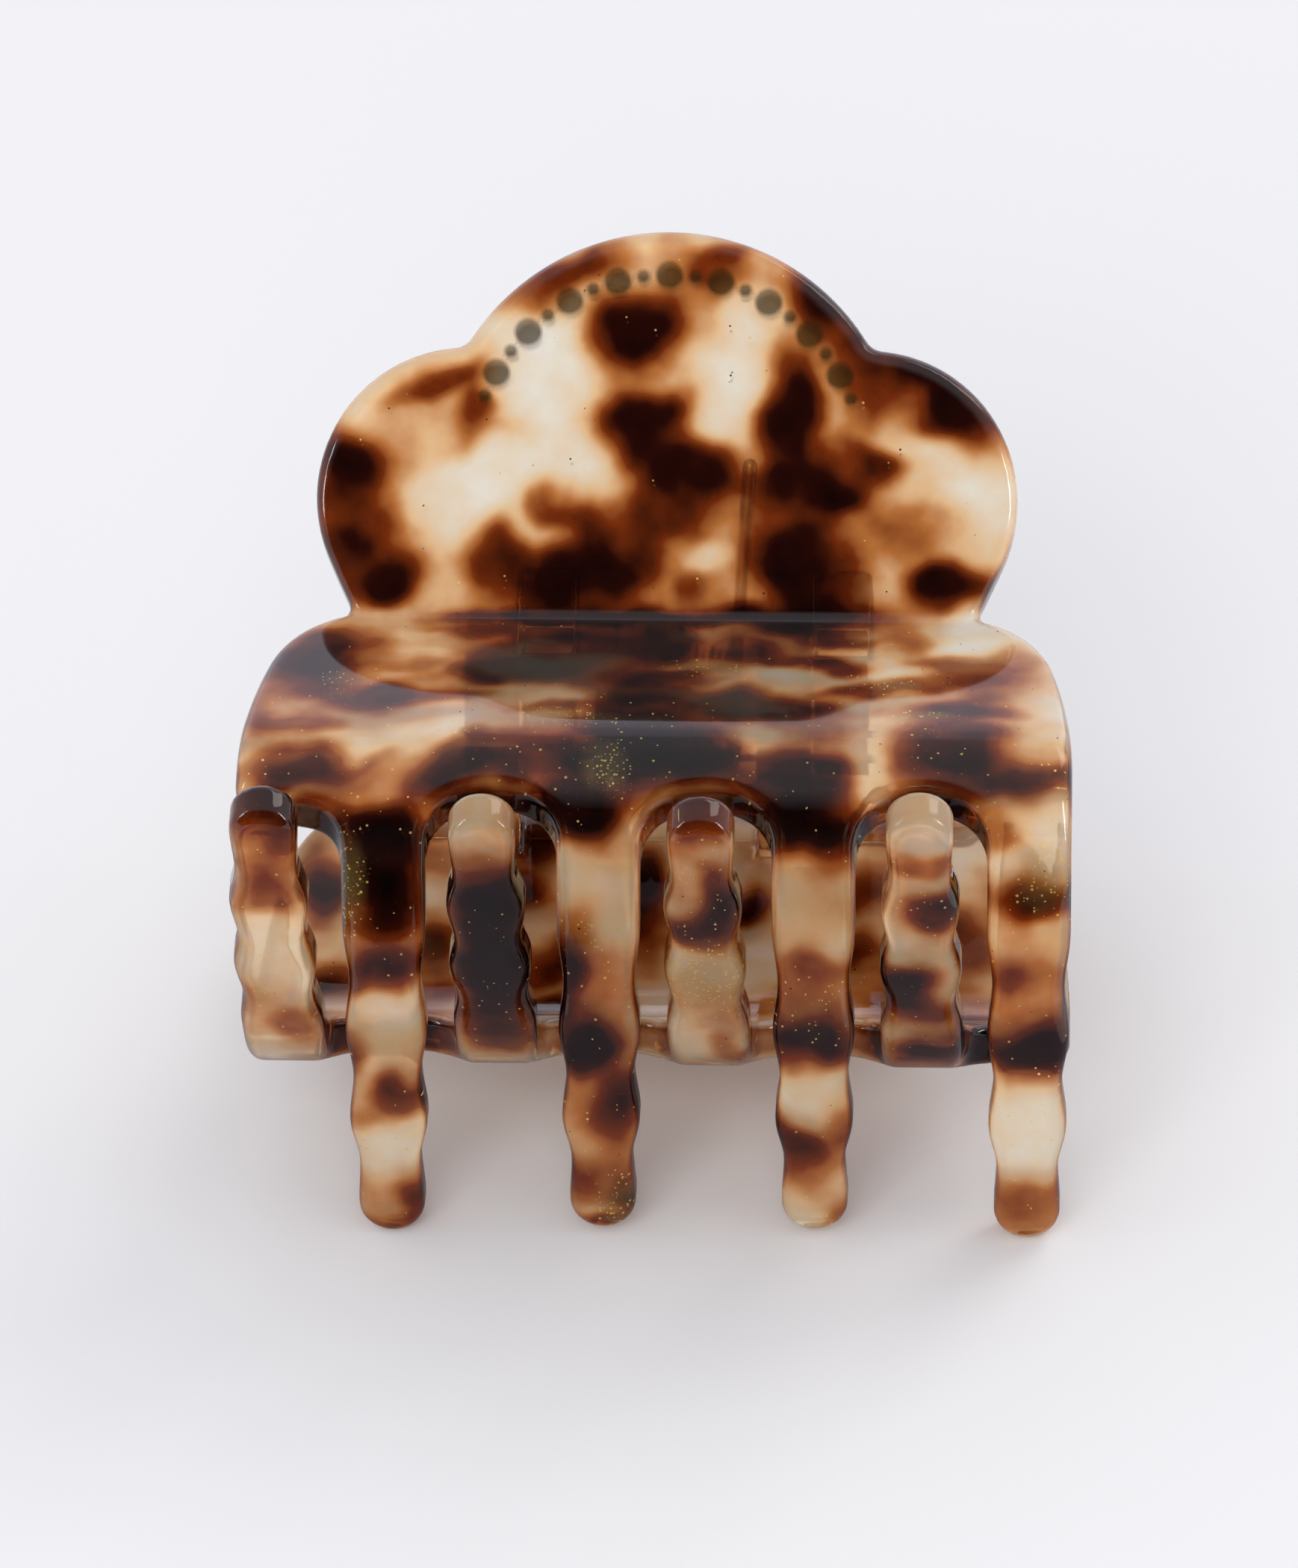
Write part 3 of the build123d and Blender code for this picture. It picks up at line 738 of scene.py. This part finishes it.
@dataclass
class ShellMoulding:
    """One claw of the clip, remeshed evenly so that its pattern can be fine.

    The grain is the size of the remesh's faces.
    """

    claw: Claw
    finish: bpy.types.Material
    pigment: Pigment
    profile: MouldProfile = field(default_factory=MouldProfile)
    dots: GripDots = field(default_factory=GripDots)
    grain: float = 0.33
    # Depth of the painted shade on side walls.
    side_wall_shade: float = 0.42

    def even_mesh(self) -> bpy.types.Mesh:
        """Remesh the claw in even steps and set each point back on its true surface.

        Returns:
            The even mesh, in metres.
        """
        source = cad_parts[f"claw_{self.claw.value}"].data
        welded = bmesh.new()
        welded.from_mesh(source)
        bmesh.ops.remove_doubles(welded, verts=welded.verts, dist=0.002 * MM)
        tree = BVHTree.FromBMesh(welded)
        closed = bpy.data.meshes.new("remesh_source")
        welded.to_mesh(closed)
        welded.free()
        rough = bpy.data.objects.new("remesh_source", closed)
        bpy.context.scene.collection.objects.link(rough)
        step = rough.modifiers.new("even", "REMESH")
        step.mode = "VOXEL"
        step.voxel_size = self.grain * MM
        bpy.context.view_layer.update()
        even = bpy.data.meshes.new_from_object(rough.evaluated_get(bpy.context.evaluated_depsgraph_get()))
        bpy.data.objects.remove(rough)
        bpy.data.meshes.remove(closed)
        points = np.empty(len(even.vertices) * 3)
        even.vertices.foreach_get("co", points)
        points = points.reshape(-1, 3)
        for number, point in enumerate(points):
            points[number] = tree.find_nearest(Vector(point))[0]
        even.vertices.foreach_set("co", points.ravel())
        even.shade_smooth()
        even.update()
        return even

    def chart(self, mesh: bpy.types.Mesh) -> None:
        """Write the pattern to the mesh's points.

        Args:
            mesh: The claw's mesh, in metres.
        """
        points = np.empty(len(mesh.vertices) * 3)
        mesh.vertices.foreach_get("co", points)
        points = points.reshape(-1, 3) / MM
        normals = np.empty(len(mesh.vertices) * 3)
        mesh.vertex_normals.foreach_get("vector", normals)
        x, along, out, inset = self.profile.flatten(points, self.claw)
        place = np.stack([x, along, np.zeros_like(x)], axis=1)
        mesh.attributes.new("skin_place", "FLOAT_VECTOR", "POINT").data.foreach_set("vector", place.ravel())

        # Side walls get painted shade, darker as the eye looks through more acetate there,
        # but less so at the tooth tips and round the grip.
        facing = np.abs((normals.reshape(-1, 3) * out).sum(axis=1))
        teeth_share = 0.15 + 0.85 * smooth(57, 48, along)
        grip_share = 1 - 0.5 * smooth(0, -6, along)
        edge = smooth(0.75, 0.2, facing) * (teeth_share * grip_share)
        tone = self.pigment.tone(x, along) - self.side_wall_shade * edge

        # The ears stand inside the skin, with a soft uneven brown of their own in place of the clouds.
        ear_tone = 0.5 + 0.2 * ripple(points[:, 1], points[:, 2], 7.0, self.pigment.seed + 6)
        tone += (ear_tone - tone) * smooth(3.5, 4.6, inset)
        values = {"tone": tone, "glitter": self.pigment.glitter(x, along),
                  "dot_edge": self.dots.edge_distance(x, along)}
        for name, value in values.items():
            mesh.attributes.new(name, "FLOAT", "POINT").data.foreach_set("value", value)

    def build(self) -> bpy.types.Object:
        """Build the claw and let it stand for its solid.

        Returns:
            The claw's object.
        """
        mesh = self.even_mesh()
        mesh.name = f"shell_{self.claw.value}"
        self.chart(mesh)
        shell = bpy.data.objects.new(f"shell_{self.claw.value}", mesh)
        bpy.context.scene.collection.objects.link(shell)
        mesh.materials.clear()
        mesh.materials.append(self.finish)
        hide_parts(f"claw_{self.claw.value}")
        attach(shell, self.claw.value)
        log.info("shell %s has %d faces", self.claw.value, len(mesh.polygons))
        return shell


@dataclass(frozen=True)
class SoftBox:
    """One rectangular soft box that faces the clip, seen by its gloss, by matt surfaces or by both."""

    name: str
    place: Place
    size: tuple[float, float]
    watts: float
    colour: str = "#ffffff"
    in_gloss: bool = True
    in_matt: bool = True


@dataclass
class Studio:
    """Pale seamless table, soft lights, cards for the gloss and the camera at the photograph's angle.

    The aim is the point of the clip that lands on the aim pixel. The distance is measured from there.
    """

    aim: Place = (0.0, 3.4125, 29.541)
    azimuth: float = 2.97
    elevation: float = 32.35
    roll: float = -1.0
    distance: float = 705.4
    lens: float = 219.04
    sensor: float = 36.0
    image: tuple[int, int] = (1738, 2100)
    aim_pixel: tuple[float, float] = (892.3, 924.6)
    paper: str = "#f3f3f5"
    room: str = "#f0f2f8"
    room_glow: float = 0.76
    soft_boxes: tuple[SoftBox, ...] = (
        SoftBox("window_box", (900, 1000, 1300), (900, 900), 6.5, "#fffaf2"),
        SoftBox("front_fill", (-200, -1100, 700), (900, 700), 8.0, "#fffdf8", in_gloss=False),
        SoftBox("left_panel", (-760, 0, 330), (600, 560), 0.2, in_matt=False),
        SoftBox("right_panel", (760, 60, 330), (600, 560), 0.2, in_matt=False),
        SoftBox("left_strip", (-560, -110, 330), (60, 340), 0.8, in_matt=False),
        SoftBox("right_strip", (560, -90, 300), (60, 340), 0.9, in_matt=False),
    )

    def table(self) -> None:
        """Lay the seamless paper that the clip lies on."""
        # Uncoated paper with a tooth of 0.4 mm: an even pale ground, soft shadows and no mirror image.
        material, tree, output = new_material("matt_seamless_paper")
        place = add_node(tree, "ShaderNodeTexCoord")
        tooth = add_node(tree, "ShaderNodeTexNoise", {"Scale": 2.5 / MM, "Detail": 2.0},
                         {"Vector": place.outputs["Object"]})
        bump = add_node(tree, "ShaderNodeBump", {"Strength": 0.05, "Distance": 0.05 * MM},
                        {"Height": tooth.outputs[0]})
        shader = add_node(tree, "ShaderNodeBsdfPrincipled",
                          {"Base Color": linear(self.paper), "Roughness": 0.8}, {"Normal": bump.outputs[0]})
        tree.links.new(shader.outputs[0], output.inputs["Surface"])
        self.card("table_paper", [(-1500, -1500, 0), (1500, -1500, 0), (1500, 1500, 0), (-1500, 1500, 0)],
                  material)

    def gloss_cards(self) -> None:
        """Stand the cards that only the clip's gloss sees, and one that is seen only through the acetate.

        In front a black flag stands on the table, and a canopy over it fades into the room. A bright screen
        is behind, and the black backing behind the grip shows through it. The grey sheet under the teeth is
        painted shade: the gloss sees it in place of the clip's shadow on the table.
        """
        black = self.cloth("black_flag_cloth", "#0c0b0d")
        # The grey cloth is painted shade: the clip's shadow on the table, as its gloss would see it.
        grey = self.cloth("painted_floor_shade_cloth", "#a5a3ab")
        bright = self.graded("bright_back_screen", "#eeeaf8", 2, (500, 1300), (1.6, 0.8))
        fading = self.graded("fading_canopy_cloth", self.room, 1, (-150, -74), (0.0, 0.72))
        cards = {
            "black_flag": (black, [(-420, -131, 0), (420, -131, 0), (420, -150, 270), (-420, -150, 270)]),
            "fading_canopy": (fading,
                              [(-420, -150, 270), (420, -150, 270), (420, -74, 300), (-420, -74, 300)]),
            "back_screen": (bright, [(-900, 900, 20), (900, 900, 20), (900, 900, 1300), (-900, 900, 1300)]),
            # The grey sheet under the teeth is painted shade.
            "painted_floor_shade_sheet": (grey, [(-60, -130, 0.2), (60, -130, 0.2), (60, 24, 0.2), (-60, 24, 0.2)]),
        }
        for name, (material, corners) in cards.items():
            card = self.card(name, corners, material)
            card.visible_camera = False
            card.visible_diffuse = False
            card.visible_transmission = False
            card.visible_shadow = False
        shade = self.card("black_backing",
                          [(-400, 260, 80), (400, 260, 80), (400, 260, 520), (-400, 260, 520)], black)
        shade.visible_camera = False
        shade.visible_diffuse = False
        shade.visible_glossy = False
        shade.visible_shadow = False

    @staticmethod
    def cloth(name: str, colour: str) -> bpy.types.Material:
        """Make a card's cloth, quite matt and of one colour.

        Args:
            name: Name of the material.
            colour: Its colour.

        Returns:
            The material.
        """
        # Matt cloth has no shine of its own, so the clip's gloss mirrors it as one plain tone.
        material, tree, output = new_material(name)
        shader = add_node(tree, "ShaderNodeBsdfPrincipled", {"Base Color": linear(colour), "Roughness": 1.0})
        tree.links.new(shader.outputs[0], output.inputs["Surface"])
        return material

    @staticmethod
    def graded(name: str, colour: str, axis: int, reach: tuple[float, float],
               glow: tuple[float, float]) -> bpy.types.Material:
        """Make a card's cloth that glows more or less from one edge to the other.

        Args:
            name: Name of the material.
            colour: Colour of the glow.
            axis: Number of the axis along which it changes.
            reach: Places along that axis where the change starts and ends.
            glow: Strength of the glow at each.

        Returns:
            The material.
        """
        # A slow change of glow keeps a card's edge from showing as a hard line in the gloss.
        material, tree, output = new_material(name)
        place = add_node(tree, "ShaderNodeTexCoord")
        parts = add_node(tree, "ShaderNodeSeparateXYZ", None, {"Vector": place.outputs["Object"]})
        strength = add_node(tree, "ShaderNodeMapRange",
                            {"From Min": reach[0] * MM, "From Max": reach[1] * MM,
                             "To Min": glow[0], "To Max": glow[1]},
                            {"Value": parts.outputs[axis]})
        shader = add_node(tree, "ShaderNodeEmission", {"Color": linear(colour)},
                          {"Strength": strength.outputs[0]})
        tree.links.new(shader.outputs[0], output.inputs["Surface"])
        return material

    @staticmethod
    def card(name: str, corners: list[Place], material: bpy.types.Material) -> bpy.types.Object:
        """Add one flat card that is part of the studio.

        Args:
            name: Name of the card.
            corners: Its four corners.
            material: Its material.

        Returns:
            The card's object.
        """
        mesh = bpy.data.meshes.new(name)
        mesh.from_pydata([Vector(c) * MM for c in corners], [], [(0, 1, 2, 3)])
        mesh.materials.append(material)
        card = bpy.data.objects.new(name, mesh)
        bpy.context.scene.collection.objects.link(card)
        return card

    def hang(self, box: SoftBox) -> None:
        """Hang one soft box, turned to face the clip.

        Args:
            box: The soft box.
        """
        data = bpy.data.lights.new(box.name, "AREA")
        data.shape = "RECTANGLE"
        data.size, data.size_y = box.size[0] * MM, box.size[1] * MM
        data.energy = box.watts
        data.color = linear(box.colour)[:3]
        lamp = bpy.data.objects.new(box.name, data)
        bpy.context.scene.collection.objects.link(lamp)
        lamp.location = Vector(box.place) * MM
        way = (Vector(self.aim) - Vector(box.place)).normalized()
        lamp.rotation_euler = way.to_track_quat("-Z", "Y").to_euler()
        lamp.visible_glossy = box.in_gloss
        lamp.visible_diffuse = box.in_matt

    def lights(self) -> None:
        """Light the clip from a pale room all round and the soft boxes."""
        world = bpy.data.worlds.new("pale_room")
        bpy.context.scene.world = world
        world.use_nodes = True
        background = world.node_tree.nodes["Background"]
        background.inputs["Color"].default_value = linear(self.room)
        background.inputs["Strength"].default_value = self.room_glow
        for box in self.soft_boxes:
            self.hang(box)

    def camera(self) -> None:
        """Set the camera so that the aim point falls on its pixel of the photograph."""
        e, a, r = (math.radians(v) for v in (self.elevation, self.azimuth, self.roll))
        back = Vector((math.sin(a) * math.cos(e), -math.cos(a) * math.cos(e), math.sin(e)))
        level = Vector((math.cos(a), math.sin(a), 0))
        steep = back.cross(level)
        right = level * math.cos(r) + steep * math.sin(r)
        up = steep * math.cos(r) - level * math.sin(r)
        scale = self.distance / (self.lens / self.sensor * self.image[1])
        off_right = (self.aim_pixel[0] - self.image[0] / 2) * scale
        off_down = (self.aim_pixel[1] - self.image[1] / 2) * scale
        eye = Vector(self.aim) + back * self.distance - right * off_right + up * off_down
        data = bpy.data.cameras.new("photo_camera")
        data.lens = self.lens
        data.sensor_width = self.sensor
        data.sensor_fit = "AUTO"
        data.clip_start, data.clip_end = 0.01, 20
        eye_object = bpy.data.objects.new("photo_camera", data)
        bpy.context.scene.collection.objects.link(eye_object)
        turn = Matrix((right, up, back)).transposed().to_4x4()
        eye_object.matrix_world = Matrix.Translation(eye * MM) @ turn
        bpy.context.scene.camera = eye_object


def main() -> None:
    """Build the clip's looks, the table, the lights and the camera."""
    logging.basicConfig(level=logging.INFO, format="%(name)s: %(message)s")
    bpy.context.scene.view_settings.view_transform = "Standard"
    studio = Studio()
    studio.table()
    studio.gloss_cards()
    studio.lights()
    studio.camera()
    acetate = TortoiseshellAcetate().material()
    upper = Pigment(UPPER_GRIP + UPPER_BACK + UPPER_CREST + UPPER_TEETH, UPPER_GOLD, drifting=0, seed=11)
    lower = Pigment(LOWER_TEETH + LOWER_INSIDE, LOWER_GOLD, drifting=42, seed=23)
    ShellMoulding(Claw.UPPER, acetate, upper).build()
    ShellMoulding(Claw.LOWER, acetate, lower).build()
    steel = DrawnSteel().material()
    TorsionSpring(steel).build()
    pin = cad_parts["hinge_pin"]
    for slot in pin.material_slots:
        slot.material = steel
    log.info("pin has %d slots", len(pin.material_slots))


if __name__ == "__main__":
    main()
